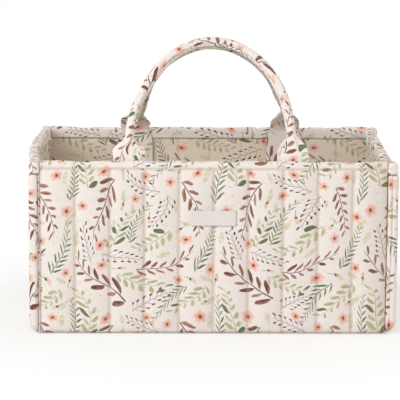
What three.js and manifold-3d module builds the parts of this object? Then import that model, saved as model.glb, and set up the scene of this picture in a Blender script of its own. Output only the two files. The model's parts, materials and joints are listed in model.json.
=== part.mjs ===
// Quilted storage caddy: padded fabric walls on a stiffened base, two rope-core carry handles, a blank
// label and two lift-out dividers. Millimetres, +Z up. The origin is the middle of the underside, +X is
// to the right, and the front wall with the label faces -Y.
import * as THREE from 'three';
import { mergeVertices } from 'three/addons/utils/BufferGeometryUtils.js';
import Module from 'manifold-3d';

const wasm = await Module();
wasm.setup();

// Outer size
const overallWidth = 380;
const overallDepth = 250;
const rimHeight = 180;

// Layers of every wall, from the outside in, and the space between two layers
const coverThickness = 2;
const foamThickness = 3.6;
const liningThickness = 1;
const layerGap = 0.3;

// Quilting: how far a channel stands above its seams, the channels of each wall, and the share of the
// puff that is left at a seam's foot, on a side wall and in the turned rim
const puff = 2.5;
const frontChannels = 10;
const sideChannels = 6;
const footPuff = 0.3;
const sidePuff = 0.9;
const rimPuff = 0.4;

// Turned rim: how far it reaches down, and the topstitch below the edge
const hemDepth = 12;
const topstitchDepth = 8;
const rimRounding = 3;

// Rolled binding round each side wall
const bindingWidth = 11.5;
const bindingDepth = 12;
const bindingBend = 7;
const bindingProud = 0.8;
const bindingLift = 0.4;
const bindingSquareness = 3;

// Base, and the turn of the front and back covers under it
const baseRadius = 10;
const underlap = 4;
const baseFoamThickness = 3.6;
const boardThickness = 2;

// Label on the front wall
const labelWidth = 47;
const labelHeight = 16;
const labelThickness = 0.8;
const labelInset = 0.2;
const labelMiddle = 122;

// Handles: an upright straight neck, then half an ellipse
const handleSpan = 168;
const handleRise = 140.5;
const neckStraight = 12;
const tubeDiameter = 10.6;
const sleeveThickness = 1;
const flareWidth = 32;
const flareThickness = 4;
const flareFlatLength = 10;
const pinchDiameter = 9;
const pinchDistance = 28;
const tubeDistance = 40;
const hingeLift = 2.5;
const frontLean = THREE.MathUtils.degToRad(38.5);
const backLean = THREE.MathUtils.degToRad(43);

// Sewn ends of the handles, inside the rim
const tabWidth = 40;
const tabLength = 40;
const tabThickness = 2.4;

// Dividers and the tapes that hold them
const dividerThickness = 8;
const dividerHeight = 128;
const dividerCoverThickness = 1.5;
const crossDividerX = 56;
const longDividerY = 0;
const tapeThickness = 1;
const loopTapeWidth = 16;
const tapeBottom = 12;
const loopTapeLength = 114;
const hookTapeLength = 106;

// Facets round a tube or roll, and on a rounded edge
const ringSides = 12;
const rimSteps = 3;

// Planes and spans that follow from the sizes above
const frontFace = overallDepth / 2 - puff;
const sideFace = overallWidth / 2 - puff - bindingProud;
const seamHalf = overallWidth / 2 - bindingWidth;
const frontSpan = 2 * (seamHalf - layerGap);
const sideSpan = 2 * (overallDepth / 2 - bindingDepth - layerGap);
const foamOffset = coverThickness + layerGap;
const liningOffset = foamOffset + foamThickness + layerGap;
const wallThickness = liningOffset + liningThickness;
const rimThickness = liningOffset + coverThickness;
const liningTop = rimHeight - hemDepth - layerGap;
const foamTop = rimHeight - rimRounding - coverThickness / 2;
const sideBottom = bindingLift + bindingDepth + layerGap;
const footDepth = frontFace - baseRadius;
const baseHalfDepth = footDepth - underlap - layerGap;
const boardHalfDepth = frontFace - wallThickness - layerGap;
const baseFoamBottom = coverThickness + layerGap;
const boardBottom = baseFoamBottom + baseFoamThickness + layerGap;
const baseLiningBottom = boardBottom + boardThickness + layerGap;
const floorHeight = baseLiningBottom + liningThickness;
const tabOuterFace = frontFace - rimThickness - layerGap;
const hingeDepth = tabOuterFace - tabThickness / 2;
const hingeHeight = rimHeight + hingeLift;
const tubeRadius = tubeDiameter / 2;
const tapeClear = Math.max(wallThickness + layerGap + tapeThickness, rimThickness) + layerGap;

const materials = {
  print: new THREE.MeshStandardMaterial({ color: 0xefe6e0, roughness: 0.9, metalness: 0 }),
  lining: new THREE.MeshStandardMaterial({ color: 0xebe0d8, roughness: 0.92, metalness: 0 }),
  foam: new THREE.MeshStandardMaterial({ color: 0xf4f1e8, roughness: 0.95, metalness: 0 }),
  board: new THREE.MeshStandardMaterial({ color: 0x4a4a4c, roughness: 0.6, metalness: 0 }),
  rope: new THREE.MeshStandardMaterial({ color: 0xe9dfc9, roughness: 0.9, metalness: 0 }),
  label: new THREE.MeshStandardMaterial({ color: 0xdedcd6, roughness: 0.7, metalness: 0 }),
  tape: new THREE.MeshStandardMaterial({ color: 0xf0ece6, roughness: 0.85, metalness: 0 }),
};

function mesh(name, geometry, material) {
  const piece = new THREE.Mesh(geometry, materials[material].clone());
  piece.name = name;
  return piece;
}

// Geometry from a list of points and triangles, turned so that its faces point out
function solid(points, triangles) {
  let volume = 0;
  for (const [a, b, c] of triangles) {
    volume += points[a].dot(new THREE.Vector3().crossVectors(points[b], points[c]));
  }
  const faces = volume < 0 ? triangles.map(([a, b, c]) => [a, c, b]) : triangles;
  const geometry = new THREE.BufferGeometry().setFromPoints(points);
  geometry.setIndex(faces.flat());
  geometry.computeVertexNormals();
  return geometry;
}

function quad(a, b, c, d) {
  return [[a, b, c], [a, c, d]];
}

// A sheet with two faces, each a grid of points, joined round its border
function sheet(rows, columns, outer, inner) {
  const points = [];
  for (const face of [outer, inner]) {
    for (let i = 0; i < rows; i++) {
      for (let j = 0; j < columns; j++) {
        points.push(face(i, j));
      }
    }
  }
  const top = (i, j) => i * columns + j;
  const under = (i, j) => rows * columns + top(i, j);
  const triangles = [];
  for (let i = 0; i < rows - 1; i++) {
    for (let j = 0; j < columns - 1; j++) {
      triangles.push(...quad(top(i, j), top(i, j + 1), top(i + 1, j + 1), top(i + 1, j)));
      triangles.push(...quad(under(i, j), under(i + 1, j), under(i + 1, j + 1), under(i, j + 1)));
    }
    triangles.push(...quad(top(i, 0), top(i + 1, 0), under(i + 1, 0), under(i, 0)));
    const last = columns - 1;
    triangles.push(...quad(top(i, last), under(i, last), under(i + 1, last), top(i + 1, last)));
  }
  for (let j = 0; j < columns - 1; j++) {
    triangles.push(...quad(top(0, j), under(0, j), under(0, j + 1), top(0, j + 1)));
    const last = rows - 1;
    triangles.push(...quad(top(last, j), top(last, j + 1), under(last, j + 1), under(last, j)));
  }
  return solid(points, triangles);
}

// A solid or a tube through rings of points: capped flat, or round a bore of matching rings
function loft(rings, bore) {
  const sides = rings[0].length;
  const points = [...rings.flat(), ...(bore ? bore.flat() : [])];
  const triangles = [];
  const join = (start, flip) => {
    for (let i = 0; i < rings.length - 1; i++) {
      for (let j = 0; j < sides; j++) {
        const next = (j + 1) % sides;
        const a = start + i * sides + j;
        const b = start + i * sides + next;
        const faces = quad(a, b, b + sides, a + sides);
        triangles.push(...(flip ? faces.map(([p, q, r]) => [p, r, q]) : faces));
      }
    }
  };
  join(0, false);
  const last = (rings.length - 1) * sides;
  if (bore) {
    const inside = rings.length * sides;
    join(inside, true);
    for (let j = 0; j < sides; j++) {
      const next = (j + 1) % sides;
      triangles.push(...quad(j, inside + j, inside + next, next));
      triangles.push(...quad(last + j, last + next, inside + last + next, inside + last + j));
    }
  } else {
    for (let j = 1; j < sides - 1; j++) {
      triangles.push([0, j + 1, j]);
      triangles.push([last, last + j, last + j + 1]);
    }
  }
  return solid(points, triangles);
}

function block(low, high) {
  const size = new THREE.Vector3().subVectors(high, low);
  const middle = new THREE.Vector3().addVectors(low, high).multiplyScalar(1 / 2);
  return new THREE.BoxGeometry(size.x, size.y, size.z).translate(middle.x, middle.y, middle.z);
}

function toManifold(geometry) {
  const bare = geometry.clone();
  bare.deleteAttribute('normal');
  bare.deleteAttribute('uv');
  const merged = mergeVertices(bare);
  return new wasm.Manifold(new wasm.Mesh({
    numProp: 3,
    vertProperties: merged.attributes.position.array,
    triVerts: Uint32Array.from(merged.index.array),
  }));
}

function cut(geometry, tool) {
  const result = toManifold(geometry).subtract(toManifold(tool)).getMesh();
  const cutGeometry = new THREE.BufferGeometry();
  cutGeometry.setAttribute('position', new THREE.BufferAttribute(result.vertProperties, result.numProp));
  cutGeometry.setIndex(new THREE.BufferAttribute(result.triVerts, 1));
  cutGeometry.computeVertexNormals();
  return cutGeometry;
}

// Rounded rectangle as a shape, for extruding
function roundedRectangle(width, height, radius) {
  const x = width / 2 - radius;
  const y = height / 2 - radius;
  const shape = new THREE.Shape();
  shape.absarc(x, y, radius, 0, Math.PI / 2);
  shape.absarc(-x, y, radius, Math.PI / 2, Math.PI);
  shape.absarc(-x, -y, radius, Math.PI, Math.PI * 3 / 2);
  shape.absarc(x, -y, radius, Math.PI * 3 / 2, Math.PI * 2);
  return shape;
}

// Height of the quilting across a wall: one arched channel after another, level at each seam
const channelProfile = [0, 1 / 4, 1 / 2, 3 / 4].map((step) => Math.sqrt(Math.sin(step * Math.PI)));

function quiltColumns(channels, span) {
  const steps = channelProfile.length;
  return Array.from({ length: channels * steps + 1 }, (_, k) => ({
    along: (k / (channels * steps) - 1 / 2) * span,
    height: puff * channelProfile[k % steps],
  }));
}

// Points of a path moved square to it by a distance, with mitred corners
function offsetPath(path, distance) {
  const side = (a, b) => new THREE.Vector2(b.out - a.out, b.z - a.z).normalize();
  return path.map((point, i) => {
    const before = i > 0 ? side(path[i - 1], point) : side(point, path[i + 1]);
    const after = i < path.length - 1 ? side(point, path[i + 1]) : before;
    const bisector = new THREE.Vector2().addVectors(before, after).normalize();
    const reach = distance / bisector.dot(before);
    return { out: point.out + bisector.y * reach, z: point.z - bisector.x * reach };
  });
}

// Quilted cover of a wall that runs along X and faces -Y, from a path of its outer face:
// out is the distance in front of the wall's plane and quilted is the share of the puff there
function quiltedCover(path, channels, span) {
  const columns = quiltColumns(channels, span);
  const lining = offsetPath(path, -coverThickness);
  const spread = offsetPath(path, 1);
  const outer = (i, j) => {
    const lift = columns[j].height * path[i].quilted;
    const out = path[i].out + (spread[i].out - path[i].out) * lift;
    const z = path[i].z + (spread[i].z - path[i].z) * lift;
    return new THREE.Vector3(columns[j].along, -out, z);
  };
  const inner = (i, j) => new THREE.Vector3(columns[j].along, -lining[i].out, lining[i].z);
  return sheet(path.length, columns.length, outer, inner);
}

// Outer face of the front and back covers: out from the base, up the wall, over the rim and down inside
function turnedPath() {
  const path = [{ out: -baseRadius - underlap, z: 0, quilted: 0 }];
  const baseSteps = 3;
  for (let k = 0; k <= baseSteps; k++) {
    const angle = k / baseSteps * Math.PI / 2;
    path.push({
      out: -baseRadius * (1 - Math.sin(angle)),
      z: baseRadius * (1 - Math.cos(angle)),
      quilted: footPuff * Math.sin(angle),
    });
  }
  const stitch = rimHeight - topstitchDepth;
  path.push({ out: 0, z: 2 * baseRadius, quilted: 1 });
  path.push({ out: 0, z: stitch - topstitchDepth, quilted: 1 });
  path.push({ out: 0, z: stitch, quilted: 0 });
  path.push({ out: 0, z: rimHeight - rimRounding, quilted: rimPuff });
  path.push({ out: -rimRounding, z: rimHeight, quilted: 0 });
  path.push({ out: rimRounding - rimThickness, z: rimHeight, quilted: 0 });
  path.push({ out: -rimThickness, z: rimHeight - rimRounding, quilted: 0 });
  path.push({ out: -rimThickness, z: rimHeight - hemDepth, quilted: 0 });
  return path;
}

// Outer face of a side cover: straight up between the binding and the rim, pressed flat under the hem
function sidePath() {
  const hemBottom = rimHeight - hemDepth;
  return [
    { out: 0, z: sideBottom, quilted: 0 },
    { out: 0, z: sideBottom + baseRadius / 2, quilted: sidePuff },
    { out: 0, z: hemBottom - topstitchDepth, quilted: sidePuff },
    { out: 0, z: hemBottom - layerGap, quilted: 0 },
    { out: 0, z: foamTop, quilted: 0 },
  ];
}

// One wall as a group: it is modelled as a front wall and turned to its place
function wall(name, turn, face, span, cover, foamBottom, liningBottom) {
  const group = new THREE.Group();
  group.rotation.z = turn;
  const layer = (start, thickness, bottom, top) => block(
    new THREE.Vector3(-span / 2, start, bottom),
    new THREE.Vector3(span / 2, start + thickness, top),
  );
  group.add(
    mesh(`${name}_cover`, cover, 'print'),
    mesh(`${name}_foam`, layer(foamOffset, foamThickness, foamBottom, foamTop), 'foam'),
    mesh(`${name}_lining`, layer(liningOffset, liningThickness, liningBottom, liningTop), 'lining'),
  );
  for (const piece of group.children) {
    piece.position.y = -face;
  }
  return group;
}

// Recess in the front quilting where the label is sewn down
function labelRecess() {
  const halfWidth = labelWidth / 2 + layerGap;
  const halfHeight = labelHeight / 2 + layerGap;
  const depth = labelInset + labelThickness + layerGap;
  return block(
    new THREE.Vector3(-halfWidth, -2 * puff, labelMiddle - halfHeight),
    new THREE.Vector3(halfWidth, depth - puff, labelMiddle + halfHeight),
  );
}

function label() {
  const front = labelInset - overallDepth / 2;
  const low = new THREE.Vector3(-labelWidth / 2, front, labelMiddle - labelHeight / 2);
  const high = new THREE.Vector3(labelWidth / 2, front + labelThickness, labelMiddle + labelHeight / 2);
  return mesh('label', block(low, high), 'label');
}

function base() {
  const slab = (name, halfDepth, bottom, thickness, material) => mesh(name, block(
    new THREE.Vector3(-frontSpan / 2, -halfDepth, bottom),
    new THREE.Vector3(frontSpan / 2, halfDepth, bottom + thickness),
  ), material);
  return [
    slab('base_cover', baseHalfDepth, 0, coverThickness, 'print'),
    slab('base_foam', footDepth, baseFoamBottom, baseFoamThickness, 'foam'),
    slab('base_board', boardHalfDepth, boardBottom, boardThickness, 'board'),
    slab('base_lining', boardHalfDepth, baseLiningBottom, liningThickness, 'lining'),
  ];
}

// Point at an angle on an oval: a squareness of 2 gives an ellipse, more gives squarer sides
function oval(angle, halfWidth, halfHeight, squareness) {
  const reach = (value) => Math.sign(value) * Math.abs(value) ** (2 / squareness);
  return [halfWidth * reach(Math.cos(angle)), halfHeight * reach(Math.sin(angle))];
}

// Soft roll down the front edge of a side wall, along its foot and up its back edge
function binding(name, sign) {
  const bendSteps = 4;
  const reach = overallDepth / 2 - bindingDepth / 2;
  const foot = bindingLift + bindingDepth / 2;
  const middle = sign * (seamHalf + bindingWidth / 2);
  const stations = [{ y: -reach, z: liningTop, angle: Math.PI }];
  for (let k = 0; k <= bendSteps; k++) {
    const angle = Math.PI + k / bendSteps * Math.PI / 2;
    const y = -reach + bindingBend * (1 + Math.cos(angle));
    stations.push({ y, z: foot + bindingBend * (1 + Math.sin(angle)), angle });
  }
  const back = stations.map(({ y, z, angle }) => ({ y: -y, z, angle: 3 * Math.PI - angle })).reverse();
  const rings = [...stations, ...back].map(({ y, z, angle }) => Array.from({ length: ringSides }, (_, k) => {
    const around = k / ringSides * Math.PI * 2;
    const [x, out] = oval(around, bindingWidth / 2, bindingDepth / 2, bindingSquareness);
    return new THREE.Vector3(middle + x, y + out * Math.cos(angle), z + out * Math.sin(angle));
  }));
  return mesh(name, loft(rings), 'print');
}

// Hem folded over the top of a side wall, with closed ends over the tops of the binding
function sideHem(name, sign) {
  const inner = sideFace - rimThickness;
  const outer = sideFace + layerGap + coverThickness;
  const shape = new THREE.Shape();
  shape.moveTo(inner, 0);
  shape.lineTo(outer, 0);
  shape.absarc(outer - rimRounding, hemDepth - rimRounding, rimRounding, 0, Math.PI / 2);
  shape.absarc(inner + rimRounding, hemDepth - rimRounding, rimRounding, Math.PI / 2, Math.PI);
  const options = { depth: overallDepth, bevelEnabled: false, curveSegments: rimSteps };
  const roll = new THREE.ExtrudeGeometry(shape, options);
  roll.rotateX(Math.PI / 2).translate(0, overallDepth / 2, rimHeight - hemDepth);
  const halfLength = sideSpan / 2 + layerGap;
  const slot = block(
    new THREE.Vector3(inner + coverThickness, -halfLength, rimHeight - 2 * hemDepth),
    new THREE.Vector3(sideFace + layerGap, halfLength, rimHeight - coverThickness),
  );
  const hem = mesh(name, cut(roll, slot), 'print');
  hem.rotation.z = sign > 0 ? 0 : Math.PI;
  return hem;
}

// Line of a handle in its own plane, from the rounded edge below the hinge line at one end to the other:
// each station has its point, the direction across the tube and its distance from the nearer hinge line
function handleLine() {
  const half = handleSpan / 2;
  const arch = handleRise - neckStraight;
  const rollAngles = [Math.PI / 3, Math.PI / 6];
  const neckSteps = 3;
  const archSteps = 34;
  const start = rollAngles.map((angle) => new THREE.Vector2(-half, -Math.sin(angle) * flareThickness / 2));
  for (let k = 0; k < neckSteps; k++) {
    start.push(new THREE.Vector2(-half, k / neckSteps * neckStraight));
  }
  const points = [...start];
  for (let k = 0; k <= archSteps; k++) {
    const angle = Math.PI * (1 - k / archSteps);
    points.push(new THREE.Vector2(half * Math.cos(angle), neckStraight + arch * Math.sin(angle)));
  }
  points.push(...start.reverse().map(({ x, y }) => new THREE.Vector2(-x, y)));
  const lengths = [points[0].y];
  for (let k = 1; k < points.length; k++) {
    lengths.push(lengths[k - 1] + points[k].distanceTo(points[k - 1]));
  }
  const total = lengths.at(-1) + points[0].y;
  return points.map((point, k) => {
    const from = points[Math.max(k - 1, 0)];
    const to = points[Math.min(k + 1, points.length - 1)];
    const along = new THREE.Vector2().subVectors(to, from).normalize();
    const across = new THREE.Vector2(-along.y, along.x);
    return { point, across, end: Math.min(lengths[k], total - lengths[k]) };
  });
}

// Half width and half thickness of a handle at a distance from its end: flat and flared, pinched, round,
// with the edge below the hinge line rounded about it
function handleSection(end) {
  const flare = THREE.MathUtils.clamp(end / pinchDistance, 0, 1);
  const thicken = THREE.MathUtils.smoothstep(end, flareFlatLength, pinchDistance);
  const swell = THREE.MathUtils.smoothstep(end, pinchDistance, tubeDistance) * (tubeDiameter - pinchDiameter);
  const width = flareWidth + (pinchDiameter - flareWidth) * Math.sin(flare * Math.PI / 2) + swell;
  const thickness = flareThickness + (pinchDiameter - flareThickness) * thicken + swell;
  const roll = Math.min(end, 0);
  return [width / 2, Math.sqrt((thickness / 2) ** 2 - roll ** 2)];
}

function handleRings(stations, section) {
  return stations.map(({ point, across, end }) => Array.from({ length: ringSides }, (_, k) => {
    const [width, thickness] = section(end);
    const [out, y] = oval(k / ringSides * Math.PI * 2, width, thickness, 2);
    return new THREE.Vector3(point.x + across.x * out, y, point.y + across.y * out);
  }));
}

// A handle on its hinge line inside the rim, leaning over the opening, with its sewn ends below
function handle(name, turn, lean) {
  const stations = handleLine();
  const sleeve = handleRings(stations, handleSection);
  const hollow = (half) => Math.max(half - sleeveThickness, half / 2);
  const bore = handleRings(stations, (end) => handleSection(end).map(hollow));
  const ropeRadius = tubeRadius - sleeveThickness - layerGap;
  const ropeStations = stations.filter(({ end }) => end > tubeDistance);
  const rope = handleRings(ropeStations, () => [ropeRadius, ropeRadius]);
  const loop = new THREE.Group();
  loop.position.set(0, -hingeDepth, hingeHeight);
  loop.rotation.x = -lean;
  loop.add(
    mesh(`${name}_handle_sleeve`, loft(sleeve, bore), 'print'),
    mesh(`${name}_handle_rope`, loft(rope), 'rope'),
  );
  const group = new THREE.Group();
  group.rotation.z = turn;
  group.add(loop);
  for (const [side, sign] of [['left', -1], ['right', 1]]) {
    const tab = mesh(`${name}_${side}_tab`, tabGeometry(), 'print');
    tab.position.set(sign * Math.cos(turn) * handleSpan / 2, -tabOuterFace, rimHeight - tabLength);
    group.add(tab);
  }
  return group;
}

// Flat sewn end of a handle: straight, then drawn in to the width of the flare at the hinge line
function tabGeometry() {
  const top = tabLength + hingeLift - flareThickness / 2 - layerGap;
  const straight = tabLength / 2;
  const shape = new THREE.Shape([
    new THREE.Vector2(-tabWidth / 2, 0),
    new THREE.Vector2(tabWidth / 2, 0),
    new THREE.Vector2(tabWidth / 2, straight),
    new THREE.Vector2(flareWidth / 2, top),
    new THREE.Vector2(-flareWidth / 2, top),
    new THREE.Vector2(-tabWidth / 2, straight),
  ]);
  const geometry = new THREE.ExtrudeGeometry(shape, { depth: tabThickness, bevelEnabled: false });
  return geometry.rotateX(Math.PI / 2).translate(0, tabThickness, 0);
}

// Loop tape sewn up a lining: across is its place along the wall
function loopTape(name, turn, face, across) {
  const group = new THREE.Group();
  group.rotation.z = turn;
  const start = wallThickness + layerGap - face;
  const bottom = floorHeight + tapeBottom;
  group.add(mesh(name, block(
    new THREE.Vector3(across - loopTapeWidth / 2, start, bottom),
    new THREE.Vector3(across + loopTapeWidth / 2, start + tapeThickness, bottom + loopTapeLength),
  ), 'tape'));
  return group;
}

// A divider from one end face to the other along X: an open-bottomed cover over a foam sheet, with
// hook tape up each end
function divider(name, from, to, hooks) {
  const bodyFrom = from + tapeThickness + layerGap;
  const bodyTo = to - tapeThickness - layerGap;
  const length = bodyTo - bodyFrom;
  const middle = (bodyFrom + bodyTo) / 2;
  const outline = roundedRectangle(length, dividerThickness, dividerThickness / 2 - layerGap);
  const options = { depth: dividerHeight, bevelEnabled: false, curveSegments: rimSteps };
  const slab = new THREE.ExtrudeGeometry(outline, options);
  const half = length / 2 - dividerCoverThickness;
  const halfThickness = dividerThickness / 2 - dividerCoverThickness;
  const top = dividerHeight - dividerCoverThickness;
  const slot = block(
    new THREE.Vector3(-half, -halfThickness, -top),
    new THREE.Vector3(half, halfThickness, top),
  );
  const foam = block(
    new THREE.Vector3(layerGap - half, layerGap - halfThickness, layerGap),
    new THREE.Vector3(half - layerGap, halfThickness - layerGap, top - layerGap),
  );
  const group = new THREE.Group();
  const body = new THREE.Group();
  body.position.x = middle;
  body.add(mesh(`${name}_cover`, cut(slab, slot), 'print'), mesh(`${name}_foam`, foam, 'foam'));
  group.add(body);
  const hookHalf = dividerThickness / 2 - tapeThickness;
  for (const [hook, start] of [[hooks[0], from], [hooks[1], to - tapeThickness]]) {
    group.add(mesh(`${name}_${hook}_hook_tape`, block(
      new THREE.Vector3(start, -hookHalf, tapeBottom),
      new THREE.Vector3(start + tapeThickness, hookHalf, tapeBottom + hookTapeLength),
    ), 'tape'));
  }
  group.position.z = floorHeight + layerGap;
  return group;
}

// Divider from front to back, with the loop tape on its left face that holds the long divider
function crossDivider() {
  const end = frontFace - tapeClear;
  const group = divider('cross_divider', -end, end, ['front', 'back']);
  group.rotation.z = Math.PI / 2;
  group.position.x = crossDividerX;
  const start = dividerThickness / 2 + layerGap;
  group.add(mesh('cross_divider_loop_tape', block(
    new THREE.Vector3(longDividerY - loopTapeWidth / 2, start, tapeBottom),
    new THREE.Vector3(longDividerY + loopTapeWidth / 2, start + tapeThickness, tapeBottom + loopTapeLength),
  ), 'tape'));
  return group;
}

function longDivider() {
  const left = tapeClear - sideFace;
  const right = crossDividerX - dividerThickness / 2 - tapeThickness - 2 * layerGap;
  const group = divider('long_divider', left, right, ['left', 'right']);
  group.position.y = longDividerY;
  return group;
}

const caddy = new THREE.Group();
caddy.name = 'quilted_caddy';
const front = cut(quiltedCover(turnedPath(), frontChannels, frontSpan), labelRecess());
const back = quiltedCover(turnedPath(), frontChannels, frontSpan);
const side = quiltedCover(sidePath(), sideChannels, sideSpan);
caddy.add(
  wall('front', 0, frontFace, frontSpan, front, baseRadius, boardBottom),
  wall('back', Math.PI, frontFace, frontSpan, back, baseRadius, boardBottom),
  wall('left', -Math.PI / 2, sideFace, sideSpan, side, sideBottom, sideBottom),
  wall('right', Math.PI / 2, sideFace, sideSpan, side.clone(), sideBottom, sideBottom),
  ...base(),
  binding('left_binding', -1),
  binding('right_binding', 1),
  sideHem('left_hem', -1),
  sideHem('right_hem', 1),
  label(),
  handle('front', 0, frontLean),
  handle('back', Math.PI, backLean),
  loopTape('front_loop_tape', 0, frontFace, crossDividerX),
  loopTape('back_loop_tape', Math.PI, frontFace, -crossDividerX),
  loopTape('left_loop_tape', -Math.PI / 2, sideFace, -longDividerY),
  crossDivider(),
  longDivider(),
);

export default caddy;
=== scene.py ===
"""Quilted storage caddy: floral cotton over padded walls, two rope-core handles and two lift-out dividers."""

import bisect
import json
import math
import random

import bpy
from mathutils import Matrix, Vector, noise


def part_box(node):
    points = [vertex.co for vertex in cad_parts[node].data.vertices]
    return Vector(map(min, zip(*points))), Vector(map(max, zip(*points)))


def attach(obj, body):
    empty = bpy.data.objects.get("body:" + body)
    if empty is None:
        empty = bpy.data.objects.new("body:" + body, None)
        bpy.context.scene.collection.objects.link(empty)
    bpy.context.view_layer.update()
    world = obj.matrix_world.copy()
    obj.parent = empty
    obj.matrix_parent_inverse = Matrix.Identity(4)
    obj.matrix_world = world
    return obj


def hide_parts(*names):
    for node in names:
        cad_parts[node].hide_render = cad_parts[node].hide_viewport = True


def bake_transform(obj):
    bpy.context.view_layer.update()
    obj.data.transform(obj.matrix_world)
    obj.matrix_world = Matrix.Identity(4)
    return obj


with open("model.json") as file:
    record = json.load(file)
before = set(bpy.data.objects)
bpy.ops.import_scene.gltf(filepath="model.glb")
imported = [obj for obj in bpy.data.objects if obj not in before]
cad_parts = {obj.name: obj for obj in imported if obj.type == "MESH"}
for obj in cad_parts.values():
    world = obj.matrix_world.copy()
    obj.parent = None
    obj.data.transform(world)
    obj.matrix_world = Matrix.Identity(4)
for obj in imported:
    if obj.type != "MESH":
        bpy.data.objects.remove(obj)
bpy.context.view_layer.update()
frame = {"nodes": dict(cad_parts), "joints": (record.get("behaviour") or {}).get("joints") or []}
bpy.ops.object.select_all(action="DESELECT")


# Studio
# The photograph looks slightly down on the front wall from about 2.4 m through a long lens. The caddy
# stands on a white sweep, in soft light that comes mostly from the front left.

camera_place = Vector((-0.0488, -2.4040, 0.5590))
camera_aim = Vector((-0.0122, 0, 0.1183))
camera_lens = 203.7
camera_tilt = math.radians(0.33)


class Shade:
    """A value in a material's nodes. Sums, products and comparisons of shades add Math nodes."""

    def __init__(self, tree, socket=None):
        self.tree = tree
        self.socket = socket

    def node(self, kind, values=(), out=0, stops=(), **settings):
        """Adds a node: its settings and ramp stops first, then the values or links of its sockets."""
        made = self.tree.nodes.new("ShaderNode" + kind)
        for name, setting in settings.items():
            setattr(made, name, setting)
        for index, (place, colour) in enumerate(stops):
            elements = made.color_ramp.elements
            stop = elements[index] if index < len(elements) else elements.new(place)
            stop.position = place
            stop.color = colour
        pairs = values.items() if isinstance(values, dict) else enumerate(values)
        for key, value in pairs:
            if isinstance(value, Shade):
                self.tree.links.new(value.socket, made.inputs[key])
            else:
                made.inputs[key].default_value = value
        return Shade(self.tree, made.outputs[out])

    def output(self, key):
        """Another output of the same node, by its number or name."""
        return Shade(self.tree, self.socket.node.outputs[key])

    def math(self, operation, *values):
        return self.node("Math", (self, *values), operation=operation)

    def vector(self, operation, *values, out=0):
        return self.node("VectorMath", (self, *values), out=out, operation=operation)

    def over(self, below, paint):
        """This share of a paint laid over the colour below it."""
        return self.node("Mix", {0: self, 6: below, 7: paint}, out=2, data_type="RGBA")

    def mapped(self, low, high, start=0, end=1, **settings):
        """Goes from start to end as this value goes from low to high."""
        return self.node("MapRange", {0: self, 1: low, 2: high, 3: start, 4: end}, **settings)

    def clouds(self, scale, detail, out=0, roughness=0.5):
        """Noise at these coordinates: grey, or in colour with out=1."""
        values = {"Vector": self, "Scale": scale, "Detail": detail, "Roughness": roughness}
        return self.node("TexNoise", values, out=out)

    def feed(self, shader, socket):
        """Links this value to a socket of the material's shader."""
        self.tree.links.new(self.socket, shader.inputs[socket])

    def __add__(self, other):
        return self.math("ADD", other)

    def __sub__(self, other):
        return self.math("SUBTRACT", other)

    def __rsub__(self, other):
        return self.node("Math", (other, self), operation="SUBTRACT")

    def __mul__(self, other):
        return self.math("MULTIPLY", other)

    def __truediv__(self, other):
        return self.math("DIVIDE", other)

    def __lt__(self, other):
        return self.math("LESS_THAN", other)

    def __gt__(self, other):
        return self.math("GREATER_THAN", other)

    def __abs__(self):
        return self.math("ABSOLUTE")


def dye(code):
    """Linear colour of a dye or paint from its hex code."""
    parts = [int(code[start:start + 2], 16) / 255 for start in (0, 2, 4)]
    return (*(p / 12.92 if p <= 0.04045 else ((p + 0.055) / 1.055) ** 2.4 for p in parts), 1)


def aimed_at(place, target):
    """Rotation of a camera or lamp at a place that looks at a target."""
    return (Vector(target) - Vector(place)).to_track_quat("-Z", "Y").to_euler()


def studio_camera():
    bpy.ops.object.camera_add(location=camera_place, rotation=aimed_at(camera_place, camera_aim))
    camera = bpy.context.object
    camera.rotation_euler.rotate_axis("Z", camera_tilt)
    camera.data.sensor_width = 36
    camera.data.lens = camera_lens
    bpy.context.scene.camera = camera


def studio_lamp(name, place, width, power, tint, target=(0, 0, 0.1)):
    bpy.ops.object.light_add(type="AREA", location=place, rotation=aimed_at(place, target))
    lamp = bpy.context.object
    lamp.name = name
    lamp.data.size = width
    lamp.data.energy = power
    lamp.data.color = tint


def seen_directly(tree):
    """1 for rays from the eye, also by way of a mirror or glass."""
    path = Shade(tree).node("LightPath")
    mirrored = path.math("MAXIMUM", path.output("Is Glossy Ray"))
    return mirrored.math("MAXIMUM", path.output("Is Transmission Ray"))


def studio_floor():
    """White paper. The eye sees it partly as plain white near the caddy, and wholly so farther away."""
    bpy.ops.mesh.primitive_plane_add(size=24, location=(0, 0, -0.0003))
    floor = bpy.context.object
    floor.name = "studio_floor"
    paper = bpy.data.materials.new("white_sweep")
    paper.use_nodes = True
    tree = paper.node_tree
    shader = tree.nodes["Principled BSDF"]
    shader.inputs["Roughness"].default_value = 0.9
    shader.inputs["Specular IOR Level"].default_value = 0.1
    seen = seen_directly(tree)
    seen.over((0.76, 0.755, 0.75, 1), (0.95, 0.95, 0.95, 1)).feed(shader, "Base Color")
    place = seen.node("TexCoord", out=3)
    away = place.vector("LENGTH", out=1)
    far = away.mapped(0.2, 0.38, 0.4, interpolation_type="SMOOTHSTEP")
    white = seen.node("Emission", ((1, 1, 1, 1), 1.0))
    lit = Shade(tree, shader.outputs[0])
    mixed = seen.node("MixShader", (far * seen, lit, white))
    tree.links.new(mixed.socket, tree.nodes["Material Output"].inputs["Surface"])
    floor.data.materials.append(paper)


def studio_sky():
    """A white room, which gives a weaker and warmer light than the white that the eye sees."""
    sky = bpy.data.worlds.new("white_studio")
    sky.use_nodes = True
    bpy.context.scene.world = sky
    tree = sky.node_tree
    light = tree.nodes["Background"]
    seen = seen_directly(tree)
    strength = seen.node("Mix", {0: seen, 2: 0.64, 3: 1.0}, data_type="FLOAT")
    tree.links.new(strength.socket, light.inputs["Strength"])
    seen.over((1, 0.97, 0.91, 1), (1, 1, 1, 1)).feed(light, "Color")


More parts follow.
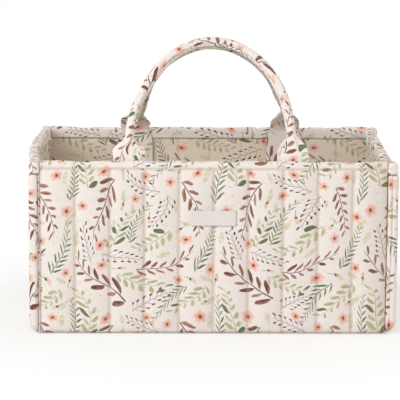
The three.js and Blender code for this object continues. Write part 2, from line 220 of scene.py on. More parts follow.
studio_camera()
studio_floor()
studio_sky()
studio_lamp("key_light", (-2.4, -2.0, 1.75), 2.0, 75, (0.925, 0.975, 1))
studio_lamp("fill_light", (1.6, -2.2, 1.2), 2.0, 6, (1, 0.93, 0.83))
studio_lamp("edge_light", (2.4, 0.5, 1.0), 1.4, 14, (1, 0.97, 0.93))
bpy.context.scene.view_settings.view_transform = "Standard"


# Printed cotton
# Every wall, roll and handle is cut from one cotton, printed with leafy branches, ferns, berry twigs,
# buds and blossoms on a warm white ground. The print repeats every 150 mm and follows each cut.

repeat = 150
ground_dye = dye("F5ECE8")
branch_dyes = dye("CE9B8E"), dye("6E3B33")
branch_stem = dye("5A3733")
sprig_dyes = dye("D6D5B2"), dye("ABAA7C")
sprig_stem = dye("A6A47C")
fern_dyes = dye("9CA57A"), dye("4E6644")
fern_stem = dye("667350")
berry_dye = dye("432623")
petal_dyes = dye("FBDDD0"), dye("F0A48E")
heart_dye = dye("7D453B")
faint_leaf_dyes = dye("E8E5CE"), dye("CFCCA6")
dot_dyes = dye("BCBA8D"), dye("E9B5A2")

# For each motif: how many in a repeat, then in mm its length, half its width at the foot and at the
# tip, and how far its tip bends aside for each mm of length
motifs = {
    "branch": (4, 66, 16, 9, 0.26),
    "fern": (4, 54, 10, 6, -0.24),
    "sprig": (5, 52, 13, 8, 0.3),
    "twig": (5, 40, 10, 7, 0.22),
    "blossom": (12, 2, 7, 7, 0),
    "bud": (7, 15, 4.5, 4.5, 0),
    "leaf": (14, 14, 4, 4, 0.1),
}


def apart(a, b):
    """Distance between two places in the print, by the shortest way over the edge of the repeat."""
    across, along = abs(a[0] - b[0]) % repeat, abs(a[1] - b[1]) % repeat
    return math.hypot(min(across, repeat - across), min(along, repeat - along))


def motif_discs(spot, length, foot, tip, bend):
    """Discs that cover a motif which is printed at a spot, and the middle of its length."""
    x, y, turn, size, hand = spot
    ahead, beside = math.cos(turn), math.sin(turn)
    steps = max(1, round(length / 12))
    discs = []
    for step in range(steps + 1):
        share = step / steps
        along = share * length * size
        aside = hand * bend * share * along
        middle = x + along * ahead - aside * beside, y + along * beside + aside * ahead
        pointed = 0.6 if steps > 1 and step in (0, steps) else 1
        discs.append((middle, (foot + (tip - foot) * share) * size * pointed))
    reach = length * size / 2
    return discs, (x + reach * ahead, y + reach * beside)


def room(discs, middle, taken, like, least):
    """How clear a motif is of all others, and of the ground that is nearer to one of its own kind."""
    clear = repeat
    for others, heart in like:
        for mine, near, far in ((discs, middle, heart), (others, heart, middle)):
            for spot, radius in mine:
                clear = min(clear, apart(spot, far) - apart(spot, near) - 1.2 * radius)
        if clear < least:
            return clear
    for spot, radius in discs:
        for other, breadth in taken:
            clear = min(clear, apart(spot, other) - radius - breadth)
        if clear < least:
            return clear
    return clear


def lay_out_print():
    """A spot for each motif in the repeat, long motifs first, each in the clearest of many places tried."""
    draw = random.Random(7)
    tries = 160
    spots = {}
    taken = []
    for kind, (count, *form) in motifs.items():
        like = []
        spots[kind] = []
        for _ in range(count):
            clearest = (-repeat,)
            for _ in range(tries):
                spot = (draw.uniform(0, repeat), draw.uniform(0, repeat), draw.uniform(0, 2 * math.pi),
                        draw.uniform(0.86, 1.08), draw.choice((1, -1)))
                discs, middle = motif_discs(spot, *form)
                clear = room(discs, middle, taken, like, clearest[0])
                if clear > clearest[0]:
                    clearest = (clear, spot, discs, middle)
            _, spot, discs, middle = clearest
            spots[kind].append(spot)
            taken += discs
            like.append((discs, middle))
    return spots


print_spots = lay_out_print()


def nearest(cloth, kind):
    """Of the like motifs, the nearest: mm along and across it from its foot, and its number."""
    half = repeat / 2
    length = motifs[kind][1]
    best = least = None
    for number, (x, y, turn, size, hand) in enumerate(print_spots[kind]):
        reach = length * size / 2
        middle = (x + reach * math.cos(turn), y + reach * math.sin(turn), 0)
        wrapped = cloth.vector("SUBTRACT", middle).vector("WRAP", (half, half, 1), (-half, -half, -1))
        turned = cloth.node("VectorRotate", {0: wrapped, 3: -turn}, rotation_type="Z_AXIS")
        place = turned.vector("MULTIPLY_ADD", (1 / size, hand / size, 0), (length / 2, 0, number))
        away = place.vector("DISTANCE", (length / 2, 0, number), out=1)
        if best is None:
            best, least = place, away
        else:
            values = {0: away < least, 4: best, 5: place}
            best = cloth.node("Mix", values, out=1, data_type="VECTOR")
            least = least.math("MINIMUM", away)
    x = best.node("SeparateXYZ", (best,))
    return x, x.output(1), x.output(2)


def stem_of(cloth, kind, pairs, angle, thickness, thinning):
    """A bent stem with side shoots: what lies on it, and where a point is about its nearest shoot."""
    length, bend = motifs[kind][1], motifs[kind][4]
    x, y, number = nearest(cloth, kind)
    y = y - x * x * (bend / length)
    side = abs(y)
    stem = (side < thickness * 1.2 - x * (thickness * 0.7 / length)) * (abs(x - length / 2) < length / 2)
    spacing = length / pairs
    lean = math.radians(angle)
    below = y < 0
    base = (x + below * (spacing / 2) - side / math.tan(lean)) / spacing
    shoot = base.node("Clamp", (base.math("FLOOR"), 0, pairs - 1))
    size = 1 - shoot * (thinning / pairs)
    beside = (base - shoot - 0.5) * (spacing * math.sin(lean))
    return stem, side, beside, size, shoot + below * 7.3 + number * 13.7


def leafy(cloth, wash, colour, kind, form, stem_dye, leaf_dyes, dark_share=0):
    """Prints a motif with alternate leaves on short stalks. One half of each leaf is a little darker."""
    pairs, reach, width, angle, thickness, foot, tip = form
    stem, side, beside, size, shoot = stem_of(cloth, kind, pairs, angle, thickness, 0.5)
    tone = cloth.node("TexWhiteNoise", {"W": shoot}, noise_dimensions="1D")
    size = size * (tone * 0.35 + 0.8) * (reach * math.sin(math.radians(angle)))
    out = side / size
    across = abs(beside) / size
    belly = (out - 0.1).math("POWER", foot) * (1 - out).math("POWER", tip)
    leaf = across < belly * width
    paint = (tone * 0.75 + wash * 0.45 + (beside > 0) * 0.2 - 0.15).over(*leaf_dyes)
    if dark_share:
        paint = ((tone > 1 - dark_share) * 0.85).over(paint, fern_dyes[1])
    colour = leaf.over(colour, paint)
    colour = ((abs(beside) < thickness * 0.45) * (out < 0.7) * 0.6).over(colour, stem_dye)
    return stem.over(colour, stem_dye)


def berried(cloth, colour, kind, pairs, reach, angle):
    """Prints a twig with a dark berry at the tip of each shoot."""
    stem, side, beside, size, shoot = stem_of(cloth, kind, pairs, angle, 0.3, 0.6)
    rise = math.sin(math.radians(angle))
    size = size * (reach * rise)
    shoots = (abs(beside) < 0.2) * (side < size)
    colour = (stem.math("MAXIMUM", shoots) * 0.85).over(colour, branch_stem)
    past = (side - size) / rise
    return (beside * beside + past * past < 1.25 ** 2).over(colour, berry_dye)


def blossoms(cloth, wash, colour):
    """Prints open blossoms of five petals round a dark heart that is ringed with specks."""
    radius = 6.4
    x, y, number = nearest(cloth, "blossom")
    away = (x * x + y * y).math("SQRT") / radius
    bearing = y.math("ARCTAN2", x) + number
    petal = abs((bearing * 2.5).math("COSINE"))
    edge = petal.math("SQRT") * 0.4 + 0.6
    tint = away / edge * 0.9 - wash * 0.5 + 0.2
    colour = (away < edge).over(colour, tint.over(petal_dyes[1], petal_dyes[0]))
    specks = (abs((bearing * 4.5).math("SINE")) > 0.8) * (abs(away - 0.38) < 0.05)
    heart = (away < petal * 0.05 + 0.2).math("MAXIMUM", specks * 0.7)
    return heart.over(colour, heart_dye)


def oval_at(x, y, middle, aside, half_length, half_width):
    """1 inside an oval that lies along a motif."""
    along = (x - middle) / half_length
    across = (y - aside) / half_width
    return along * along + across * across < 1


def buds(cloth, wash, colour):
    """Prints closed buds of two petals in green cups on short stalks."""
    x, y, number = nearest(cloth, "bud")
    y = y - x * x * 0.015
    stalk = (abs(y) < 0.28) * (abs(x - 4.5) < 4.5)
    colour = stalk.over(colour, fern_stem)
    colour = oval_at(x, y, 10.8, 1.0, 3.4, 1.6).over(colour, petal_dyes[0])
    colour = oval_at(x, y, 11.2, -0.5, 3.7, 1.9).over(colour, wash.over(petal_dyes[1], petal_dyes[0]))
    return oval_at(x, y, 8.2, 0, 1.5, 1.6).over(colour, fern_dyes[1])


def faint_leaves(cloth, wash, colour):
    """Prints single pale leaves between the other motifs."""
    length = motifs["leaf"][1]
    x, y, number = nearest(cloth, "leaf")
    share = x / length
    leaf = abs(y - x * x * (0.1 / length)) < (share * (1 - share)).math("SQRT") * 4.6
    return (leaf * (wash * 0.5 + 0.6)).over(colour, wash.over(*faint_leaf_dyes))


def floral(cloth, ground):
    """The whole print, from coordinates on the cloth in mm."""
    wash = cloth.clouds(0.22, 2.0, roughness=0.6).mapped(0.3, 0.7)
    dots = cloth.node("TexVoronoi", {"Vector": cloth, "Scale": 0.16})
    speck = (dots < 0.14) * (wash > 0.5)
    colour = (speck * 0.6).over(ground, (wash > 0.85).over(*dot_dyes))
    colour = faint_leaves(cloth, wash, colour)
    sprig = 6, 13, 0.8, 54, 0.32, 0.9, 0.6
    fern = 9, 11.5, 0.4, 40, 0.34, 0.6, 0.9
    branch = 6, 15.5, 0.74, 46, 0.5, 0.9, 0.7
    colour = leafy(cloth, wash, colour, "sprig", sprig, sprig_stem, sprig_dyes, dark_share=0.2)
    colour = leafy(cloth, wash, colour, "fern", fern, fern_stem, fern_dyes)
    colour = leafy(cloth, wash, colour, "branch", branch, branch_stem, branch_dyes)
    colour = berried(cloth, colour, "twig", 6, 9.5, 50)
    colour = buds(cloth, wash, colour)
    return blossoms(cloth, wash, colour)


def millimetres(tree):
    """Coordinates on a piece's own cloth, in mm."""
    metres = Shade(tree).node("TexCoord", out=2)
    return metres.vector("MULTIPLY", (1000, 1000, 0))


def plain_weave(cloth, pitch):
    """Height of crossing threads."""
    x = cloth.vector("MULTIPLY", (2 * math.pi / pitch, 2 * math.pi / pitch, 0))
    x = x.node("SeparateXYZ", (x,))
    return x.math("SINE") * x.output(1).math("SINE")


def fabric(name, roughness=0.92, sheen=0.12):
    """A new matt fabric: its material and shader."""
    material = bpy.data.materials.new(name)
    material.use_nodes = True
    shader = material.node_tree.nodes["Principled BSDF"]
    shader.inputs["Roughness"].default_value = roughness
    shader.inputs["Specular IOR Level"].default_value = 0.25
    shader.inputs["Sheen Weight"].default_value = sheen
    shader.inputs["Sheen Roughness"].default_value = 0.6
    return material, shader


def raised(shader, height, distance, strength=1.0):
    """Gives a shader's surface a small height, in shares of a distance in metres."""
    values = {"Height": height, "Distance": distance, "Strength": strength}
    height.node("Bump", values).feed(shader, "Normal")


def printed_cotton(name, ground, shade_and_slub_dye):
    """The printed cotton on a ground colour, with random darker patches and with painted shade in seams.

    The print is drawn unevenly, so that no two motifs of a kind are quite the same.
    """
    material, shader = fabric(name)
    cloth = millimetres(material.node_tree)
    drawn = cloth
    for scale, detail, reach in ((0.022, 0.0, 17), (0.11, 1.0, 2.2)):
        push = cloth.clouds(scale, detail, out=1).vector("SUBTRACT", (0.5, 0.5, 0.5))
        drawn = push.vector("MULTIPLY_ADD", (reach, reach, 0), drawn)
    colour = floral(drawn, ground)
    # Painted shade in seams, creases and along edges, read from each piece's seam attribute
    seam = cloth.node("Attribute", out=2, attribute_name="seam")
    slub = cloth.clouds(0.9, 2.0)
    colour = slub.mapped(0.48, 0.72, 0, 0.2).over(colour, shade_and_slub_dye)
    colour = (seam * 0.42).over(colour, shade_and_slub_dye)
    colour.feed(shader, "Base Color")
    raised(shader, plain_weave(cloth, 0.7) * 0.3 + slub + cloth.clouds(0.27, 1.0) * 1.5, 0.0005, 0.6)
    return material


outer_cotton = printed_cotton("printed_cotton", ground_dye, dye("B08E74"))
# The lining's warmer, darker ground and seam dye are painted shade and warm light inside the caddy
shaded_lining_print = printed_cotton("lining_cotton", dye("F0E2D3"), dye("A0826A"))


# Front and back walls
# Printed cotton is quilted over wadding in ten upright channels, turned under the base, and turned over
# the rim, where a topstitch holds it. The wadding blows the cloth up between the seams.


def corners(node):
    """The lowest and the highest corner of a node of the frame."""
    return [Vector(corner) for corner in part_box(node)]


cover_thickness = 0.0018
puff = 0.0025
blown_crown = 0.0031
groove_shade_reach = 0.0024
front_low, front_high = corners("front_cover")
wall_face = -front_low.y - puff
wall_half = front_high.x
rim_height = front_high.z
rim_thickness = 0.0082
foot_radius = 0.003
underlap = 0.011
rim_roll = 0.0038
topstitch_height = rim_height - 0.007
hem_bottom = rim_height - 0.012
front_channels = 10
label_half_width, label_half_height, label_middle = 0.0235, 0.008, 0.122


def arc(middle, radius, start, end, steps=8):
    """Points on an arc, between two angles in degrees."""
    angles = (math.radians(start + (end - start) * k / steps) for k in range(steps + 1))
    return [(middle[0] + radius * math.cos(a), middle[1] + radius * math.sin(a)) for a in angles]


class Line:
    """A line through points, in a plane or in space."""

    def __init__(self, points):
        self.points = [Vector(p) for p in points]
        self.lengths = [0.0]
        for a, b in zip(self.points, self.points[1:]):
            self.lengths.append(self.lengths[-1] + (b - a).length)
        self.length = self.lengths[-1]

    def at(self, distance):
        """The point at a distance along the line."""
        k = max(0, min(bisect.bisect_right(self.lengths, distance), len(self.points) - 1) - 1)
        a, b = self.points[k], self.points[k + 1]
        return a.lerp(b, (distance - self.lengths[k]) / (self.lengths[k + 1] - self.lengths[k]))

    def heading(self, distance, reach=0.0006):
        """The direction of the line at a distance along it."""
        return (self.at(distance + reach) - self.at(distance - reach)).normalized()

    def distance_to(self, value, axis):
        """How far along the line a coordinate is first reached."""
        for k, (a, b) in enumerate(zip(self.points, self.points[1:])):
            if min(a[axis], b[axis]) <= value <= max(a[axis], b[axis]) and a[axis] != b[axis]:
                return self.lengths[k] + (b - a).length * (value - a[axis]) / (b[axis] - a[axis])


def smooth(value, low, high):
    """Rises from 0 at the low value to 1 at the high one, with no corners."""
    share = min(1, max(0, (value - low) / (high - low)))
    return share * share * (3 - 2 * share)


def near(gap, reach):
    """1 at no gap, falling evenly to 0 at the reach."""
    return max(0, 1 - abs(gap) / reach)


def opened(gap, reach):
    """How far a rounded end has opened, from 0 at its tip to 1 at the reach."""
    return math.sqrt(max(0, 1 - max(0, 1 - gap / reach) ** 2))


def uneven(x, y, z):
    """A value between -1 and 1 that wanders smoothly from place to place."""
    return noise.noise(Vector((x, y, z)))


def spaced(marks, step):
    """Places from mark to mark, about a step apart."""
    places = [marks[0]]
    for low, high in zip(marks, marks[1:]):
        count = max(1, round((high - low) / step))
        places += [low + (high - low) * k / count for k in range(1, count + 1)]
    return places


def closer_at_ends(low, high, gaps, step):
    """Places about a step apart, and at these growing gaps from both ends."""
    *first, last = gaps
    places = [low + gap for gap in first] + spaced((low + last, high - last), step)
    return places + [high - gap for gap in reversed(first)]


def cut_cloth(name, across, along, place, print_from=(0, 0), thread=None):
    """A sheet that is cut flat, with points at all the places across and along it, laid where place says.

    Its print follows the flat cut, or the place on the cloth that thread gives for a point of the cut.
    """
    columns, rows = len(across) - 1, len(along) - 1
    bpy.ops.mesh.primitive_grid_add(x_subdivisions=columns, y_subdivisions=rows, size=1)
    piece = bpy.context.object
    piece.name = piece.data.name = name
    flat = []
    for vertex in piece.data.vertices:
        column, row = round((vertex.co.x + 0.5) * columns), round((vertex.co.y + 0.5) * rows)
        flat.append((across[column], along[row]))
        vertex.co = place(*flat[-1])
    threads = piece.data.uv_layers[0].data
    for loop in piece.data.loops:
        point = flat[loop.vertex_index]
        threads[loop.index].uv = Vector(thread(*point) if thread else point) + Vector(print_from)
    return piece, flat


def quilt_places(span, channels):
    """Places across a quilted wall, closer together at the seams."""
    shares = 0, 0.03, 0.08, 0.16, 0.26, 0.38, 0.5, 0.62, 0.74, 0.84, 0.92, 0.97
    width = span / channels
    return [(k + share) * width - span / 2 for k in range(channels) for share in shares] + [span / 2]


def seam_distance(across, span, channels):
    """Distance from the nearest quilting seam."""
    width = span / channels
    return abs((across + span / 2 + width / 2) % width - width / 2)


def channel_lift(across, span, channels, ends, crown):
    """How far a channel stands out before it is blown up: less near its ends."""
    share = min(1, 2 * seam_distance(across, span, channels) / (span / channels))
    return crown * math.sqrt(ends) * math.sqrt(math.sin(share * math.pi / 2))


def paint_seam_shade(piece, shares):
    """Stores for each point its share of painted shade in seams, creases and edges."""
    seam = piece.data.attributes.new("seam", "FLOAT", "POINT")
    seam.data.foreach_set("value", shares)


def blow_up(piece, pinned, growth, pressure):
    """Lets wadding push a sheet out between its pinned seams, and keeps the shape it settles in."""
    last_frame = 16
    group = piece.vertex_groups.new(name="seams")
    group.add(pinned, 1, "REPLACE")
    cloth = piece.modifiers.new("Cloth", "CLOTH")
    cloth.collision_settings.use_collision = False
    cloth.point_cache.frame_start = 1
    cloth.point_cache.frame_end = 20
    ways = cloth.settings
    ways.quality = 6
    ways.mass = 0.02
    ways.tension_stiffness = ways.compression_stiffness = 15
    ways.shear_stiffness = 5
    ways.bending_stiffness = 0.25
    ways.vertex_group_mass = "seams"
    ways.use_pressure = True
    ways.uniform_pressure_force = pressure
    ways.shrink_min = ways.shrink_max = -growth
    ways.effector_weights.gravity = 0
    for step in range(1, last_frame + 1):
        bpy.context.scene.frame_set(step)
    bpy.context.view_layer.objects.active = piece
    bpy.ops.object.modifier_apply(modifier="Cloth")
    bpy.context.scene.frame_set(1)
    piece.vertex_groups.clear()


def press_flatter(piece, face, low, high, crown):
    """Wadding is softer than air: the cloth comes to rest at a lower and slightly fuller crown."""
    for vertex in piece.data.vertices:
        lift = -vertex.co.y - face
        if low < vertex.co.z < high and lift > 0:
            vertex.co.y = -face - crown * (lift / blown_crown) ** 0.9


def select_only(*pieces):
    """Selects pieces for the next operator, the first as the active one."""
    bpy.ops.object.select_all(action="DESELECT")
    for piece in pieces:
        piece.select_set(True)
    bpy.context.view_layer.objects.active = pieces[0]


def sew_up(piece, thickness, material, slot):
    """Gives a cloth its thickness on the inside and its material; the slot is not used."""
    select_only(piece)
    if thickness:
        solid = piece.modifiers.new("Solidify", "SOLIDIFY")
        solid.thickness = thickness
        solid.offset = -1
        bpy.ops.object.modifier_apply(modifier="Solidify")
    bpy.ops.object.shade_smooth()
    piece.data.materials.clear()
    piece.data.materials.append(material)


def close_up(piece):
    """Sews the meeting edges of a rolled cloth together."""
    select_only(piece)
    bpy.ops.object.mode_set(mode="EDIT")
    bpy.ops.mesh.select_all(action="SELECT")
    bpy.ops.mesh.remove_doubles(threshold=0.00002)
    bpy.ops.mesh.normals_make_consistent(inside=False)
    bpy.ops.object.mode_set(mode="OBJECT")


def wall_line():
    """Outer face of the front wall at its seams, as distance behind the wall's plane and height."""
    foot = arc((foot_radius, foot_radius), foot_radius, 270, 180)
    back = rim_thickness - rim_roll
    points = [(foot_radius + underlap, 0), *foot]
    points += arc((rim_roll, rim_height - rim_roll), rim_roll, 180, 90)
    points += arc((back, rim_height - rim_roll), rim_roll, 90, 0)
    return Line([*points, (rim_thickness, hem_bottom)])


def quilted_wall():
    """The front wall's cover, blown up between its seams."""
    line = wall_line()
    straight = line.distance_to(foot_radius + 0.0001, 1)
    topstitch = line.distance_to(topstitch_height, 1)
    foot_seam_shadow = line.distance_to(0.0008, 1)
    span = 2 * wall_half
    across = quilt_places(span, front_channels)
    along = spaced((0, underlap, straight, topstitch, line.length), 0.0022)
    channel_crown, rim_swell, rim_sag = 0.0019, 0.0006, 0.0005

    def height(u, v):
        """How far the cloth stands out, in the channels and in the rim."""
        if v >= topstitch:
            return rim_swell * math.sin(math.pi * (v - topstitch) / (line.length - topstitch))
        ends = min(1, max(0, (v - straight + 0.0015) / 0.009), (topstitch - v) / 0.005)
        return channel_lift(u, span, front_channels, ends, channel_crown)

    def place(u, v):
        behind, z = line.at(v)
        heading = line.heading(v)
        lift = height(u, v)
        wave = rim_sag * abs(uneven(u * 26, 3, 8)) * smooth(v, topstitch, topstitch + 0.008)
        return u, -wall_face + behind - lift * heading.y, z + lift * heading.x - wave

    piece, flat = cut_cloth("front_wall_cover", across, along, place)
    pinned = []
    seams = []
    for index, (u, v) in enumerate(flat):
        gap = seam_distance(u, span, front_channels)
        low = piece.data.vertices[index].co.z < foot_radius
        edge = abs(u) > wall_half - 0.0001 or v in (0, line.length)
        if edge or low or v == topstitch or (gap < 0.0001 and v < topstitch):
            pinned.append(index)
        # Painted shade in the quilting grooves, and in the topstitch groove below the rim
        groove_shade = near(gap, groove_shade_reach) if v < topstitch else 0
        stitched = near(v - topstitch, 0.0017)
        # The foot's seam line, darkened also as painted contact shadow with the floor
        foot = 0.9 * near(v - foot_seam_shadow, 0.0016)
        # Painted shade over the last channel at the wall's right end, beside the roll
        last = 0.45 * near(wall_half - u, 0.028)
        seams.append(max(groove_shade, stitched, foot, last))
    paint_seam_shade(piece, seams)
    blow_up(piece, pinned, 0.008, 60)
    press_flatter(piece, wall_face, foot_radius, topstitch_height, 0.0026)
    inner_face = -wall_face + rim_thickness
    for vertex in piece.data.vertices:
        if vertex.co.z > hem_bottom - 0.001:
            vertex.co.y = min(vertex.co.y, inner_face)
    return piece


def folded_edge():
    """The narrow fold of cloth that shows along the front wall's left edge, outside its last seam."""
    half_width, half_depth = 0.0010, 0.0013
    middle_x, middle_y = -wall_half - half_width, -wall_face + 0.0006
    low, high = 0.0006, hem_bottom - 0.0006
    girth = 2 * math.pi * half_depth
    across = [girth * k / 12 for k in range(13)]
    along = closer_at_ends(low, high, (0, 0.0006, 0.0015), 0.004)

    def place(u, v):
        angle = 2 * math.pi * u / girth
        closed = opened(min(v - low, high - v), 0.0015)
        swell = 1 + 0.15 * uneven(0, v * 45, 6)
        return (middle_x + half_width * math.cos(angle) * closed,
                middle_y + half_depth * math.sin(angle) * closed * swell, v)

    piece, flat = cut_cloth("edge_fold", across, along, place, print_from=(0.13, 0))
    # The whole fold is darkened: painted shade of the crease between the roll and the wall
    paint_seam_shade(piece, [0.6] * len(flat))
    close_up(piece)
    return piece


def press_under_label(piece):
    """The label's ends are sewn down, which flattens the channels under it."""
    limit = wall_face + 0.0011
    outside, spread = 0.0005, 0.006
    for vertex in piece.data.vertices:
        if vertex.co.y > -wall_face:
            continue
        beside = abs(vertex.co.x) - label_half_width
        above = abs(vertex.co.z - label_middle) - label_half_height
        share = min(1, max(0, 1 - (max(beside, above) - outside) / spread))
        over = -vertex.co.y - limit
        if over > 0:
            vertex.co.y += over * share


def turned_copy(piece, name, print_shift):
    """A copy of a wall, turned half round the caddy, from another part of the cloth."""
    copy = bpy.data.objects.new(name, piece.data.copy())
    copy.data.name = name
    bpy.context.collection.objects.link(copy)
    copy.data.transform(Matrix.Rotation(math.pi, 4, "Z"))
    for thread in copy.data.uv_layers[0].data:
        thread.uv += Vector(print_shift)
    return copy


front_wall = quilted_wall()
select_only(front_wall, folded_edge())
bpy.ops.object.join()
back_wall = turned_copy(front_wall, "back_wall_cover", (0.061, 0.043))
press_under_label(front_wall)
wall_flat = (2 * wall_half, wall_line().length)
for piece, node in ((front_wall, "front_cover"), (back_wall, "back_cover")):
    sew_up(piece, cover_thickness, outer_cotton, "printed_cotton")
    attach(piece, "bag")
    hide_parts(node)


# Side walls
# The same quilting in six channels, sewn between the rolls at the front and back edges. The cloth ends
# flat under the folded hem. The right wall has settled inwards, and the rim of the left one stands out.

side_channels = 6
side_low, side_high = corners("right_cover")
side_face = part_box("right_hem")[1][0] - 0.0023
side_half = side_high.y
right_drift, left_drift = 0.0044, 0.0050


def settle(piece):
    """Moves the side walls a few millimetres to the left, most at the rim and not at all in the corners."""
    for vertex in piece.data.vertices:
        x, y, z = vertex.co
        if x > 0:
            vertex.co.x -= right_drift * (1 - smooth(abs(y), 0.100, 0.1155)) * smooth(z, 0.02, 0.16)
        else:
            vertex.co.x -= left_drift * (1 - smooth(abs(y), 0.02, 0.1155)) * smooth(z, 0.13, 0.178)


def quilted_side():
    """The right wall's cover, made as a front wall and turned to its place."""
    low, hem_edge, top = side_low.z, hem_bottom - 0.0003, side_high.z
    span = 2 * side_half
    across = quilt_places(span, side_channels)
    along = spaced((low, hem_edge, top), 0.0022)
    channel_crown = 0.0017

    def place(u, v):
        ends = min(1, max(0, (v - low) / 0.006), max(0, (hem_edge - v) / 0.008))
        return u, -side_face - channel_lift(u, span, side_channels, ends, channel_crown), v

    piece, flat = cut_cloth("right_wall_cover", across, along, place, print_from=(0.02, 0.05))
    pinned = []
    seams = []
    for index, (u, v) in enumerate(flat):
        gap = seam_distance(u, span, side_channels)
        if gap < 0.0001 or v == low or v >= hem_edge:
            pinned.append(index)
        # Painted shade in the quilting grooves
        seams.append(near(gap, groove_shade_reach))
    paint_seam_shade(piece, seams)
    blow_up(piece, pinned, 0.007, 55)
    press_flatter(piece, side_face, low, hem_edge, 0.0021)
    piece.data.transform(Matrix.Rotation(math.pi / 2, 4, "Z"))
    return piece


right_wall = quilted_side()
left_wall = turned_copy(right_wall, "left_wall_cover", (0.083, 0.031))
settle(right_wall)
settle(left_wall)
for piece, node in ((right_wall, "right_cover"), (left_wall, "left_cover")):
    sew_up(piece, cover_thickness, outer_cotton, "printed_cotton")
    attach(piece, "bag")
    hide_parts(node)


# Rolled bindings
# A soft roll of the printed cotton is sewn round each side wall, down the front edge, along the foot and
# up the back edge. The cloth is drawn flat at its seam and lies in long loose folds.

roll_low, roll_high = corners("right_binding")
roll_half_width = (roll_high.x - roll_low.x) / 2
roll_half_depth = 0.006
roll_bend = 0.003
roll_girth = 2 * math.pi * 0.0058


def hump(gap, width):
    """A round hump, 1 high at no gap."""
    return math.exp(-(gap / width) ** 2)


def squared(angle, half_width, half_height, squareness):
    """Point at an angle on an oval: a squareness of 2 gives an ellipse, more gives squarer sides."""
    cos, sin = math.cos(angle), math.sin(angle)
    return (half_width * math.copysign(abs(cos) ** (2 / squareness), cos),
            half_height * math.copysign(abs(sin) ** (2 / squareness), sin))


def rolled_binding():
    """The right binding, along the middle of its roll."""
    reach, foot = roll_high.y - roll_half_depth, roll_low.z + roll_half_depth
    bend_y, bend_z = reach - roll_bend, foot + roll_bend
    points = [(-reach, roll_high.z), *arc((-bend_y, bend_z), roll_bend, 180, 270)]
    points += [*arc((bend_y, bend_z), roll_bend, 270, 360), (reach, roll_high.z)]
    line = Line(points)
    inner = roll_low.x
    middle = (roll_low.x + roll_high.x) / 2
    across = [roll_girth * k / 36 for k in range(37)]
    across += [roll_girth * (270 + turn) / 360 for turn in (-6, -3, -1, 1, 3, 6)]
    across.sort()
    along = closer_at_ends(0, line.length, (0, 0.0004, 0.0012, 0.003), 0.003)
    shrinkage, swelling, rippling = 0.03, 0.05, 0.03
    tuck_depth, gather_depth, narrowing = 0.0012, 0.0007, 0.68

    def place(u, v):
        """The roll is loose: it swells unevenly, is tucked and gathered, and is drawn narrow at its foot."""
        angle = -2 * math.pi * u / roll_girth
        point, heading = line.at(v), line.heading(v)
        closed = opened(min(v, line.length - v), 0.003)
        x, out = squared(angle, roll_half_width, roll_half_depth, 3)
        fold = uneven(4 * math.cos(angle), 4 * math.sin(angle), v * 22)
        ripple = uneven(2 * math.cos(angle), 2 * math.sin(angle), v * 120 + 7)
        size = closed * (1 - shrinkage + swelling * fold + rippling * ripple)
        fold_at = -0.0009 + 0.0006 * math.sin(v * 34)
        tuck = tuck_depth * hump(x - fold_at, 0.0012) * (out > 0.003) * (v < line.length / 2)
        foot_turn = smooth(abs(point.x), 0.100, 0.114) * smooth(-point.y, -0.022, -0.010)
        gathers = gather_depth * foot_turn * math.cos(v * 1900) ** 8 * (out > 0)
        if out < 0:
            out += (max(out, 0.0004 - roll_bend) - out) * foot_turn
        out = (out - tuck - gathers) * size
        y, z = point.x + out * heading.y, point.y - out * heading.x
        narrow = narrowing * max(0, 1 - z / 0.012) ** 1.7 * smooth(abs(y), 0.098, 0.112)
        return inner + (middle - inner + x * size) * (1 - narrow), y, z

    piece, flat = cut_cloth("right_binding_roll", across, along, place, print_from=(0.11, 0.02))
    marks = []
    for u, v in flat:
        # Painted shade along the roll's seam crease, narrow in front and wide behind, and in one front fold
        folded = v < line.length / 2
        seam_crease_shade = near(u - roll_girth / 2, 0.0018 if folded else 0.0042) ** 1.3
        crease = 0.6 * folded * near(u - roll_girth * 0.7375, 0.0008)
        marks.append(max(seam_crease_shade, crease))
    paint_seam_shade(piece, marks)
    return piece


right_binding = rolled_binding()
close_up(right_binding)
left_binding = turned_copy(right_binding, "left_binding_roll", (0.047, 0.071))
for vertex in left_binding.data.vertices:
    room_for_fold = 0.12 * smooth(-vertex.co.y, 0.09, 0.112)
    vertex.co.x = -roll_high.x + (vertex.co.x + roll_high.x) * (1 - room_for_fold)
for piece, node in ((right_binding, "right_binding"), (left_binding, "left_binding")):
    sew_up(piece, 0, outer_cotton, "printed_cotton")
    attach(piece, "bag")
    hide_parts(node)


# Side hems
# A strip of the cotton is folded over the top of each side wall and sewn through near both its edges.
# Its closed ends cap the rolls.

hem_low, hem_high = corners("right_hem")
hem_middle = (hem_low.x + hem_high.x) / 2
hem_end = 0.0035
hem_thickness = 0.0016
hem_crease_height = 0.1738


